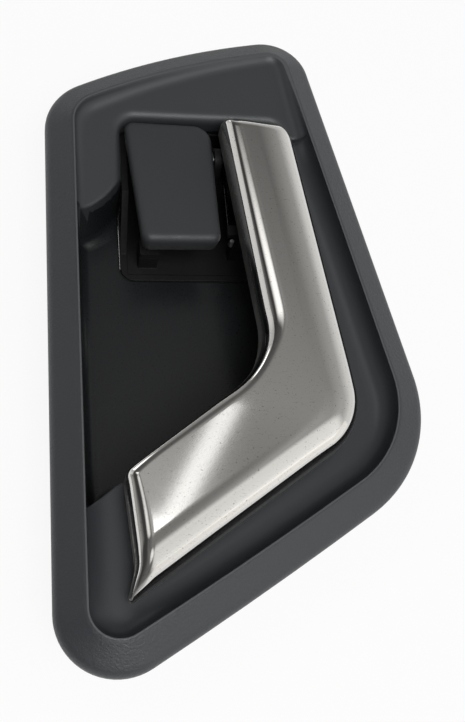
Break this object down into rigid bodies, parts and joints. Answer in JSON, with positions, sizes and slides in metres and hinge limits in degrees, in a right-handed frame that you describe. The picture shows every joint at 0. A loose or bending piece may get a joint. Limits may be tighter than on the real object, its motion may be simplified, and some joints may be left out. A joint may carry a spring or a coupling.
{
  "type": "car interior door handle",
  "caption": "Recessed inner door handle: black face plate with a finger cup, a bent satin chrome pull lever and a rocking lock knob on one pivot pin, sprung and cable operated.",
  "frame": {"origin": "middle of the face plate, 46 mm below the pivot pin's axis, on the plane where the rim's edge meets the door trim", "axes": "+Z out of the door towards the cabin, +Y along the handle towards the lock knob, +X across it towards the lever"},
  "size_m": [0.0895, 0.1692, 0.0302],
  "materials": {
    "black_trim": "grained charcoal, smooth satin inside",
    "satin_chrome": "satin plated",
    "black_knob": "matte black",
    "black_nylon": "plain moulded",
    "zinc_steel": "zinc plated",
    "spring_steel": "bright drawn",
    "pale_washer": "natural",
    "black_rubber": "moulded"
  },
  "bodies": {
    "housing": {"bezel": "black_trim", "base_frame": "black_nylon", "base_screws": "zinc_steel", "pivot_pin": "zinc_steel", "pin_clip": "spring_steel", "knob_washer": "pale_washer", "lever_washer": "pale_washer", "lever_return_spring": "spring_steel", "lock_detent_spring": "spring_steel", "lever_bumpers": "black_rubber", "lever_stop_pad": "black_rubber", "knob_stop_pad": "black_rubber"},
    "lever": {"lever_cover": "satin_chrome", "lever_arm": "black_nylon", "cover_screws": "zinc_steel"},
    "knob": {"lock_knob": "black_knob"}
  },
  "joints": [
    {"name": "lever_pull", "type": "hinge", "parent": "housing", "child": "lever", "pos_m": [0.0105, 0.046, -0.001], "axis": [-1, 0, 0], "range_deg": [0, 24], "stiffness_Nm_per_rad": 0.25, "springref_deg": -28.65, "deforming": ["lever_return_spring"]},
    {"name": "knob_rock", "type": "hinge", "parent": "housing", "child": "knob", "pos_m": [-0.0117, 0.046, -0.001], "axis": [1, 0, 0], "range_deg": [0, 15]}
  ]
}
